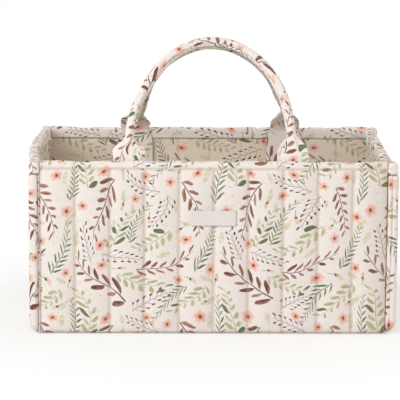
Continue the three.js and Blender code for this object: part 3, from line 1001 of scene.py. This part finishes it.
def folded_hem():
    """The right hem: across it runs up the outside, over the top and down the inside."""
    height = hem_high.z - rim_roll
    line = Line([(hem_high.x, hem_low.z),
                 *arc((hem_high.x - rim_roll, height), rim_roll, 0, 90),
                 *arc((hem_low.x + rim_roll, height), rim_roll, 90, 180),
                 (hem_low.x, hem_low.z)])
    length = 2 * hem_high.y
    across = spaced((0, line.length), 0.0012)
    along = closer_at_ends(0, length, (0, 0.0003, 0.0008, 0.0016, 0.0026, hem_end), 0.0025)
    slow_wave, quick_wave, end_drop, sag, crease_depth = 0.00035, 0.0002, 0.0012, 0.0005, 0.0008

    def place(u, v):
        """The hem waves a little. Its closed ends are rounded, a little lower, and creased."""
        point = line.at(u)
        y = v - length / 2
        end = near(min(v, length - v), hem_end)
        closed = (1 - end ** 3) ** (1 / 3)
        wave = uneven(u * 60, y * 30, 3) * slow_wave + uneven(u * 150, y * 110, 9) * quick_wave
        edge = min(1, max(0, min(u, line.length - u) - 0.0024) / 0.003)
        x = hem_middle + (point.x - hem_middle) * closed * (1 + edge * wave / 0.005)
        z = point.y - end_drop * end ** 3 * (point.y - hem_low.z) / 0.012
        z -= sag * abs(uneven(y * 24, 5, 1)) * (z > hem_high.z - 0.002)
        crease = crease_depth * end * hump(point.y - hem_crease_height - 0.1 * (x - hem_middle), 0.0007)
        return x, -y - math.copysign(crease, -y), z

    def thread(u, v):
        """The closed ends are cut square, so their print runs straight across and down."""
        if min(v, length - v) > 0.003:
            return u, v
        x, y, z = place(u, v)
        drop = hem_high.z - z
        return line.length / 2 + hem_middle - x, -drop if v < length / 2 else length + drop

    piece, flat = cut_cloth("right_hem_fold", across, along, place, (0.02, 0.09), thread)
    # Painted shade along both lower edges of the hem
    paint_seam_shade(piece, [0.8 * near(min(u, line.length - u), 0.0016) for u, v in flat])
    return piece, (line.length, length)


right_hem, hem_flat = folded_hem()
close_up(right_hem)
left_hem = turned_copy(right_hem, "left_hem_fold", (0.1, 0.05))
settle(right_hem)
settle(left_hem)
for piece, node in ((right_hem, "right_hem"), (left_hem, "left_hem")):
    sew_up(piece, hem_thickness, outer_cotton, "printed_cotton")
    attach(piece, "bag")
    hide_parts(node)


# Linings
# Each wall and the floor are lined with the same print on a slightly warmer ground. The wall seams show
# through as shallow dents.
# The warmer, darker ground is painted shade and warm reflected light inside the caddy.

lining_thickness = 0.0006


def lining(name, node, turn, channels, print_from):
    """A wall lining, made for the front wall and turned to its place."""
    low, high = corners(node)
    thin = 0 if abs(math.sin(turn)) > 0.5 else 1
    face = min(abs(low[thin]), abs(high[thin]))
    span = 2 * high[1 - thin]
    across = quilt_places(span, channels)
    along = spaced((low.z, high.z), 0.0035)
    clearance, softness, dent_depth = 0.00015, 0.00012, 0.0004

    def place(u, v):
        gap = seam_distance(u, span, channels)
        soft = uneven(u * 35, v * 60, channels) * softness
        dent = dent_depth * hump(gap, 0.0022)
        return u, -(face + clearance + soft + dent), v

    piece, flat = cut_cloth(name, across, along, place, print_from)
    # Painted shade in the dents over the wall seams
    paint_seam_shade(piece, [0.8 * near(seam_distance(u, span, channels), 0.0012) for u, v in flat])
    piece.data.flip_normals()
    piece.data.transform(Matrix.Rotation(turn, 4, "Z"))
    return piece, (span, high.z - low.z)


for side, turn, channels in (("front", 0, front_channels), ("right", math.pi / 2, side_channels),
                             ("back", math.pi, front_channels), ("left", -math.pi / 2, side_channels)):
    piece, flat_size = lining(f"{side}_wall_lining", f"{side}_lining", turn, channels,
                              (0.03 + turn * 0.02, 0.06 + turn * 0.013))
    if side in ("left", "right"):
        settle(piece)
    sew_up(piece, lining_thickness, shaded_lining_print, "lining_cotton")
    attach(piece, "bag")
    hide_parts(f"{side}_lining")


# Base
# A flat cover of the printed cotton closes the underside, and a lining of the same print lies smooth
# over the stiff board. Both end at the foot of the walls.

underside_thickness = 0.0015


def base_sheet(name, node, upwards, print_from):
    """A flat cloth of the base, with the slight waves of cloth that is held only at its edges."""
    low, high = corners(node)
    across = spaced((low.x, high.x), 0.005)
    along = spaced((low.y, high.y), 0.005)

    wave_height = 0.0003

    def inset(u, v):
        """How far inside the nearest edge a point is."""
        return min(high.x - abs(u), high.y - abs(v))

    def place(u, v):
        wave = (0.5 + 0.5 * uneven(u * 22, v * 22, 4)) * wave_height * min(1, inset(u, v) / 0.01)
        return u, v, high.z - wave if upwards else low.z + wave

    piece, flat = cut_cloth(name, across, along, place, print_from)
    if not upwards:
        piece.data.flip_normals()
    # Painted shade along the edges, where the base meets the walls
    paint_seam_shade(piece, [0.6 * near(inset(*point), 0.003) for point in flat])
    return piece, (high.x - low.x, high.y - low.y)


for name, node, upwards, material, slot in (
        ("floor_lining", "base_lining", True, shaded_lining_print, "lining_cotton"),
        ("underside_cover", "base_cover", False, outer_cotton, "printed_cotton")):
    piece, flat_size = base_sheet(name, node, upwards, (0.07, 0.11))
    sew_up(piece, lining_thickness if upwards else underside_thickness, material, slot)
    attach(piece, "bag")
    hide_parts(node)


# Label
# A blank label of woven taffeta lies over two channels of the front wall. Its ends are sewn down, and
# its middle lies loose on the cotton.

label_thickness = 0.0006


def woven_label():
    """The label, drawn close to the wall at its ends and slack between the stitches."""
    low, high = corners("label")
    half, reach = high.x, (high.z - low.z) / 2
    middle = (low.z + high.z) / 2
    across = spaced((-half, -half + 0.0035, half - 0.0035, half), 0.001)
    along = spaced((-reach, reach), 0.001)
    end_dip, slack, curl_height, wobble = 0.0004, 0.00035, 0.00012, 0.0001

    def place(u, v):
        end = near(half - abs(u), 0.005)
        sag = slack * hump(u, 0.007)
        curl = curl_height * uneven(u * 90, v * 120, 2)
        y = low.y - 0.0001 + end_dip * end ** 2 + sag + curl
        return u + wobble * math.sin(v * 900), y, middle + v

    piece, flat = cut_cloth("blank_label", across, along, place)
    paint_seam_shade(piece, [near(half - abs(u), 0.0007) for u, v in flat])
    return piece, (2 * half, 2 * reach)


def toned(shader, value, low, dark, high, light):
    """Colours a shader from a dark dye at a low value to a light one at a high value."""
    colour = value.node("ValToRGB", (value,), stops=((low, dye(dark)), (high, dye(light))))
    colour.feed(shader, "Base Color")


def woven_taffeta():
    """Off-white taffeta with flecks where the darker warp shows through."""
    material, shader = fabric("label_weave", roughness=0.7, sheen=0.05)
    cloth = millimetres(material.node_tree)
    fleck = cloth.clouds(1.6, 2.0)
    toned(shader, fleck, 0.35, "E0DBD4", 0.62, "F3F0EC")
    raised(shader, plain_weave(cloth, 0.45) + fleck, 0.0002, 0.5)
    return material


label, label_flat = woven_label()
sew_up(label, label_thickness, woven_taffeta(), "label_weave")
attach(label, "bag")
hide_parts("label")


# Handles
# A tube of the cotton over a rope core. Both ends are pressed flat, flare out over the rim and are sewn
# inside the wall. One seam runs along the inner side.

handle_half_span = 0.084
handle_arch_height = 0.1285
handle_neck = 0.012
tube_radius = 0.0053
flare_half_width = 0.016
flare_half_thickness = 0.002
flare_flat_length = 0.006
pinch_radius = 0.0045
tube_distance = 0.040
tab_half_width = 0.020
tab_half_thickness = 0.0012
tab_length = 0.0425


def handle_section(end, bell, pinch):
    """Half width, half thickness and squareness of a handle, at a distance from its hinge line.

    The flare keeps its width as far as the bell, and is narrowest at the pinch.
    """
    if end < 0:
        drawn = smooth(end, -tab_length / 2, 0)
        flat = smooth(end, -0.008, 0.004)
        width = tab_half_width + (flare_half_width - tab_half_width) * drawn
        return width, tab_half_thickness + (flare_half_thickness - tab_half_thickness) * flat, 5 - 2 * flat
    thick = smooth(end, flare_flat_length, pinch)
    swell = smooth(end, pinch, tube_distance) * (tube_radius - pinch_radius)
    width = flare_half_width + (pinch_radius - flare_half_width) * smooth(end, bell, pinch) + swell
    thickness = flare_half_thickness + (pinch_radius - flare_half_thickness) * thick + swell
    return width, thickness, 3 - smooth(end, 0.004, pinch)


def sway(front, x, height):
    """How far a handle's line drifts aside: the front one to the left at its foot, the back one inwards."""
    if front:
        return -0.0029 * smooth(height, -0.03, -0.004) * (1 - smooth(height, 0.03, 0.105))
    if x < 0:
        drawn = 0.0070 * smooth(height, 0, 0.034) - 0.0028 * smooth(height, 0.055, 0.10)
    else:
        drawn = -0.0042 * smooth(height, 0.03, 0.06)
    return drawn * smooth(abs(x), 0, 0.045)


def handle_hinge(side):
    """The middle of a handle's hinge line."""
    return next(joint["pos_m"] for joint in frame["joints"] if joint["name"] == f"{side}_handle_swing")


def handle_sleeve(name, hinge, front, print_from):
    """A handle's sleeve from one sewn end to the other, at rest: it leans in over the opening."""
    lean = math.radians(38.5 if front else 43)
    inwards = 1 if front else -1
    up = Vector((0, inwards * math.sin(lean), math.cos(lean)))
    level = Vector((1, 0, 0))
    below = Vector((0, 0, -1))
    foot = [(-depth, below * depth) for depth in (tab_length, 0.03, 0.025, 0.02, 0.016, 0.012, 0.008, 0.004)]
    foot.append((0.004, up * 0.004))
    arch = [(handle_half_span * math.cos(math.pi * (1 - k / 90)),
             handle_neck + handle_arch_height * math.sin(math.pi * k / 90)) for k in range(91)]
    half = handle_half_span
    points = [hinge + level * (sway(front, -half, y) - half) + step for y, step in foot]
    points += [hinge + level * (x + sway(front, x, y)) + up * y for x, y in arch]
    points += [hinge + level * (sway(front, half, y) + half) + step for y, step in reversed(foot)]
    line = Line(points)
    girth = 2 * math.pi * tube_radius
    across = [girth * k / 40 for k in range(41)]
    along = [0, 0.0004, 0.0012]
    along += spaced((0.0025, tab_length, tab_length + tube_distance), 0.0018)
    along += spaced((tab_length + tube_distance, line.length / 2), 0.003)[1:]
    along += [line.length - v for v in reversed(along[:-1])]
    seam_angle = math.radians(-140 if front else 140)
    pleat_depth, fine_pleat_depth, softness, seam_depth = 0.0006, 0.0002, 0.0004, 0.0005

    def section(v):
        """The handle's section, and how far along the handle it is from the nearer hinge line."""
        end = min(v, line.length - v) - tab_length
        bell, pinch = (0.006, 0.024) if v < line.length / 2 else (0.001, 0.031)
        return end, *handle_section(end, bell, pinch)

    def angle_at(u):
        return seam_angle - 2 * math.pi * u / girth

    threads = {}
    for v in along:
        _, *form = section(v)
        ring = Line(squared(angle_at(u), *form) for u in across)
        threads[v] = {u: gone - ring.length / 2 for u, gone in zip(across, ring.lengths)}

    def place(u, v):
        """The tube is pleated above its flares, wanders a little, and is drawn in along its seam."""
        point, heading = line.at(v), line.heading(v, 0.003)
        end, width, thickness, squareness = section(v)
        lying = Vector((0, inwards, 0))
        standing = Vector((0, inwards * math.cos(lean), -math.sin(lean)))
        face = lying.lerp(standing, smooth(end, -0.004, 0.004)).normalized() * inwards
        aside = heading.cross(face).normalized()
        face = aside.cross(heading).normalized()
        angle = angle_at(u)
        closed = opened(end + tab_length, 0.0012)
        x, y = squared(angle, width, thickness * closed, squareness)
        pleats = hump(end - 0.016, 0.010) if end > 0 else 0
        crease = math.cos(5 * angle + 1.1) * pleat_depth + math.cos(9 * angle + end * 90) * fine_pleat_depth
        soft = uneven(3 * math.cos(angle), 3 * math.sin(angle), v * 70) * softness
        loose = smooth(end, 0.002, 0.03)
        swelling = 1 + (pleats * crease + soft * loose) / max(thickness, 0.003)
        seam = hump(min(u, girth - u), 0.0009) * seam_depth * loose
        shrink = swelling - seam / max(width, 0.003)
        return point + aside * x * shrink + face * y * shrink

    piece, flat = cut_cloth(name, across, along, place, print_from, lambda u, v: (threads[v][u], v))
    # The seam line is darker: thread colour and painted shade of its groove
    paint_seam_shade(piece, [0.8 * (min(u, girth - u) < 0.0001) for u, v in flat])
    close_up(piece)
    return piece, line


handle_lines = {}
for side, start in (("front", (0.02, 0.08)), ("back", (0.09, 0.03))):
    node = f"{side}_handle"
    hinge = Vector(handle_hinge(side))
    piece, handle_lines[node] = handle_sleeve(f"{node}_cloth", hinge, side == "front", start)
    sew_up(piece, 0, outer_cotton, "printed_cotton")
    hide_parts(f"{node}_sleeve", f"{side}_left_tab", f"{side}_right_tab")
    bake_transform(piece)


# Dividers
# A foam sheet in a sleeve of the lining print, which is folded over the top, joined down both ends and
# open below. A row of stitches runs round each face.

divider_wall = 0.0012
divider_border = 0.007


def longer_axis(low, high):
    """0 for a box that is longer from left to right, 1 for one that is longer from front to back."""
    return 0 if high.x - low.x > high.y - low.y else 1


def along_axis(axis, along, aside, height):
    """A point from its places along an axis and beside it, and its height."""
    return (along, aside, height) if axis == 0 else (aside, along, height)


def divider_sleeve(name, node, print_from):
    """A divider's sleeve: along its cloth runs up one face, over the top and down the other."""
    low, high = corners(node)
    axis = longer_axis(low, high)
    size = high - low
    length, top, roll = size[axis], size.z, size[1 - axis] / 2
    middle = (low[1 - axis] + high[1 - axis]) / 2
    line = Line([(-roll, 0), *arc((0, top - roll), roll, 180, 0, 12), (roll, 0)])
    gaps = [0, 0.0004, 0.001, 0.002, 0.003, 0.0045]
    marks = gaps[-1], divider_border, length - divider_border, length - gaps[-1]
    across = gaps + spaced(marks, 0.0035)[1:-1] + [length - gap for gap in reversed(gaps)]
    up = line.distance_to(top - divider_border - 0.0001, 1)
    marks = 0, divider_border, up, line.length - up, line.length - divider_border, line.length
    along = spaced(marks, 0.0032)
    stitch_depth, bowing = 0.00045, 0.0002

    def place(u, v):
        point = line.at(v)
        end = min(u, length - u)
        edge = min(end, point.y if point.y > 0 else 0, top - point.y)
        closed = opened(end, 0.004)
        stitched = stitch_depth * hump(edge - divider_border, 0.0013)
        bow = uneven(u * 30, point.x * 200, point.y * 30) * bowing
        thick = point.x * closed - math.copysign(stitched + abs(bow), point.x) * min(1, abs(point.x) * 500)
        along_it = high[axis] - u if axis else low[axis] + u
        return along_axis(axis, along_it, middle + thick, low.z + point.y)

    piece, flat = cut_cloth(name, across, along, place, print_from)
    # Painted shade in the stitched groove round each face
    shares = []
    for u, v in flat:
        height = line.at(v).y
        edge = min(u, length - u, top - height if height > roll else top, top - height)
        shares.append(0.8 * near(edge - divider_border, 0.0012))
    paint_seam_shade(piece, shares)
    close_up(piece)
    return piece


for body, start in (("cross_divider", (0.05, 0.03)), ("long_divider", (0.12, 0.08))):
    piece = divider_sleeve(f"{body}_sleeve", f"{body}_cover", start)
    sew_up(piece, divider_wall, shaded_lining_print, "lining_cotton")
    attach(piece, body)
    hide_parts(f"{body}_cover")


# Touch tapes
# Woven nylon tapes hold the dividers: fuzzy loops are sewn up the linings and the cross divider, and
# moulded hooks up the dividers' ends.

tape_thickness = 0.0008
proud = 0.00005


def touch_tape(name, rough_scale, rough_height, weave_pitch):
    """White nylon tape with a rough face."""
    material, shader = fabric(name, roughness=0.85, sheen=0.3)
    cloth = millimetres(material.node_tree)
    fuzz = cloth.clouds(rough_scale, 4.0)
    toned(shader, fuzz, 0.3, "DDD8CF", 0.65, "F2EEE7")
    raised(shader, fuzz + plain_weave(cloth, weave_pitch) * 0.5, rough_height)
    return material


def tape_strip(name, node):
    """A tape with soft edges, in its node's place."""
    low, high = corners(node)
    size = high - low
    wide = longer_axis(low, high)
    thin = 1 - wide
    half = size[wide] / 2
    gaps = 0, 0.0003, 0.0012
    across = closer_at_ends(-half, half, gaps, 0.0015)
    along = closer_at_ends(0, size.z, gaps, 0.003)
    facing = 1 if low[thin] < 0 and node != "cross_divider_loop_tape" else -1
    face = high[thin] if facing > 0 else low[thin]
    middle = (low[wide] + high[wide]) / 2
    edge_drop, stitch_depth = 0.0004, 0.00015

    def place(u, v):
        edge = min(half - abs(u), v, size.z - v)
        drop = edge_drop * near(edge, 0.0009) ** 2 + stitch_depth * hump(edge - 0.0018, 0.0006)
        return along_axis(wide, middle + u, face - facing * (drop + proud), low.z + v)

    piece, _ = cut_cloth(name, across, along, place)
    normal = piece.data.polygons[len(piece.data.polygons) // 2].normal
    if normal[thin] * facing < 0:
        piece.data.flip_normals()
    return piece, (2 * half, size.z)


loop_face = touch_tape("loop_tape", 2.2, 0.0004, 0.6)
hook_face = touch_tape("hook_tape", 1.2, 0.0002, 1.1)
tapes = (("bag", "front_loop", "back_loop", "left_loop"),
         ("cross_divider", "cross_divider_loop", "cross_divider_front_hook", "cross_divider_back_hook"),
         ("long_divider", "long_divider_left_hook", "long_divider_right_hook"))
for body, *kinds in tapes:
    for kind in kinds:
        piece, flat_size = tape_strip(f"{kind}_strip", f"{kind}_tape")
        hooks = "hook" in kind
        face, slot = (hook_face, "hook_tape") if hooks else (loop_face, "loop_tape")
        sew_up(piece, tape_thickness, face, slot)
        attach(piece, body)
        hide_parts(f"{kind}_tape")


# Stitches
# Off-white thread: along the rim, the side hems and the label's ends, round the sewn ends of the handles
# and round the borders of the dividers.

stitch_length, stitch_gap, stitch_radius = 0.0026, 0.0009, 0.00022
tab_box_half_width = 0.016
label_row_at, label_row_half = 0.0217, 0.007


def spindle():
    """Points and faces of one stitch, 2 long and 2 thick, from its lower tip to its upper one."""
    points = [Vector((0, 0, -1))]
    for height, radius in ((-0.7, 0.7), (0, 1), (0.7, 0.7)):
        for k in range(6):
            angle = math.pi * k / 3
            points.append(Vector((radius * math.cos(angle), radius * math.sin(angle), height)))
    points.append(Vector((0, 0, 1)))
    faces = []
    for k in range(6):
        after = (k + 1) % 6
        faces.append((0, 1 + after, 1 + k))
        for ring in (1, 7):
            faces.append((ring + k, ring + after, ring + 6 + after, ring + 6 + k))
        faces.append((13 + k, 13 + after, 19))
    return points, faces


def stitches(name, rows):
    """Rows of stitches, each from one point to another, as small spindles that lie half sunk in the cloth."""
    form, sides = spindle()
    points, faces = [], []
    for start, end in rows:
        start, end = Vector(start), Vector(end)
        count = max(1, int((end - start).length / (stitch_length + stitch_gap)))
        turn = (end - start).to_track_quat("Z", "Y").to_matrix().to_4x4()
        slim = turn @ Matrix.Diagonal((stitch_radius, stitch_radius, stitch_length / 2, 1))
        for k in range(count):
            middle = start.lerp(end, (k + 0.5) / count)
            faces += [[index + len(points) for index in side] for side in sides]
            points += [middle + slim @ point for point in form]
    mesh = bpy.data.meshes.new(name)
    mesh.from_pydata(points, [], faces)
    piece = bpy.data.objects.new(name, mesh)
    bpy.context.collection.objects.link(piece)
    return piece


def boxed(low, high, place):
    """The four rows of a stitched box between two corners of a face."""
    box = (low[0], low[1]), (high[0], low[1]), (high[0], high[1]), (low[0], high[1])
    placed = [place(*spot) for spot in box]
    return list(zip(placed, placed[1:] + placed[:1]))


def bag_rows():
    """Stitches of the bag, before its side walls settle."""
    rows = []
    for side in (-1, 1):
        for y in (wall_face + proud, wall_face - rim_thickness - proud):
            rows.append([(x * (wall_half - 0.003), side * y, topstitch_height) for x in (-1, 1)])
        face = side * (abs(handle_hinge("front")[1]) - tab_half_thickness - proud)
        for x in (-handle_half_span, handle_half_span):
            low = x - tab_box_half_width, rim_height - 0.038
            high = x + tab_box_half_width, rim_height - 0.008
            rows += boxed(low, high, lambda a, b, face=face: (a, face, b))
    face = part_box("label")[0][1] + 0.00002
    for x in (-label_row_at, label_row_at):
        rows.append([(x, face, label_middle + z) for z in (-label_row_half, label_row_half)])
    reach = hem_high.y - 0.006
    for x in (hem_high.x + proud, hem_low.x - proud):
        for side in (-1, 1):
            for start in range(-10, 10):
                ends = (reach * share / 10 for share in (start, start + 1))
                rows.append([(side * x, y, hem_low.z + 0.0016) for y in ends])
    return rows


def divider_rows(node):
    """Stitches round both faces of a divider, 7 mm inside its edges."""
    low, high = corners(node)
    axis = longer_axis(low, high)
    middle = (low[1 - axis] + high[1 - axis]) / 2
    reach = (high[1 - axis] - low[1 - axis]) / 2 - 0.0004
    first = low[axis] + divider_border, low.z + divider_border
    last = high[axis] - divider_border, high.z - divider_border
    rows = []
    for face in (middle - reach, middle + reach):
        rows += boxed(first, last, lambda a, b, face=face: along_axis(axis, a, face, b))
    return rows


def cotton_thread():
    """Plain off-white sewing thread."""
    material, shader = fabric("sewing_thread", roughness=0.7)
    shader.inputs["Base Color"].default_value = dye("DDD6C4")
    return material


thread_material = cotton_thread()
for body in ("bag", "cross_divider", "long_divider"):
    piece = stitches(f"{body}_stitches", bag_rows() if body == "bag" else divider_rows(f"{body}_cover"))
    if body == "bag":
        settle(piece)
    sew_up(piece, 0, thread_material, "cotton_rope")
    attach(piece, body)


# Foam, board and rope cores
# Inside the cotton, and seen only when the caddy is taken apart: cut foam sheets, a stiff fibre board
# in the base, and twisted ropes along the middle of the handles.

rope_radius = 0.0040


def side_foam():
    """The right wall's foam, before it settles with its cloth."""
    low, high = corners("right_foam")
    across, along = spaced((low.y, high.y), 0.004), spaced((low.z, high.z), 0.01)
    piece, _ = cut_cloth("right_wall_foam", across, along, lambda u, v: (high.x, u, v))
    return piece, high.x - low.x


def twisted_rope(name, line):
    """A handle's rope of three strands, along the round part of its sleeve."""
    start = tab_length + tube_distance
    end = line.length - start
    girth = 2 * math.pi * rope_radius
    across = [girth * k / 24 for k in range(25)]
    along = closer_at_ends(start, end, (0, 0.0003, 0.001, 0.003), 0.002)

    def place(u, v):
        angle = 2 * math.pi * u / girth
        heading = line.heading(v, 0.003)
        aside = heading.cross(Vector((0, 1, 0))).normalized()
        face = aside.cross(heading)
        closed = opened(min(v - start, end - v), 0.003)
        radius = rope_radius * closed * (0.9 + 0.1 * abs(math.cos(1.5 * (angle + v * 170))))
        return line.at(v) + (aside * math.cos(angle) + face * math.sin(angle)) * radius

    piece, _ = cut_cloth(name, across, along, place)
    close_up(piece)
    return piece


def core_material(name, dark, light, scale, height, roughness):
    """A core's material, with its cells or fibres."""
    material, shader = fabric(name, roughness=roughness, sheen=0)
    cells = Shade(material.node_tree).node("TexCoord", out=3).clouds(scale, 3.0)
    toned(shader, cells, 0.35, dark, 0.65, light)
    raised(shader, cells, height)
    return material


open_foam = core_material("open_foam", "E3DDCB", "F6F2E6", 900, 0.0004, 0.95)
grey_board = core_material("fibre_board", "6E6A64", "8C877F", 350, 0.0001, 0.8)
twisted_cotton = core_material("cotton_rope", "D3C6AA", "EFE6CF", 420, 0.0005, 0.9)
for node in ("front_foam", "back_foam", "base_foam", "cross_divider_foam", "long_divider_foam", "base_board"):
    core = frame["nodes"][node].data
    core.materials.clear()
    core.materials.append(grey_board if node == "base_board" else open_foam)
right_foam, foam_thickness = side_foam()
left_foam = turned_copy(right_foam, "left_wall_foam", (0, 0))
for piece, node in ((right_foam, "right_foam"), (left_foam, "left_foam")):
    sew_up(piece, foam_thickness, open_foam, "foam")
    settle(piece)
    bpy.ops.object.shade_flat()
    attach(piece, "bag")
    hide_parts(node)
for node, line in handle_lines.items():
    rope = twisted_rope(f"{node}_twist", line)
    sew_up(rope, 0, twisted_cotton, "cotton_rope")
    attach(rope, node)
    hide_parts(f"{node}_rope")
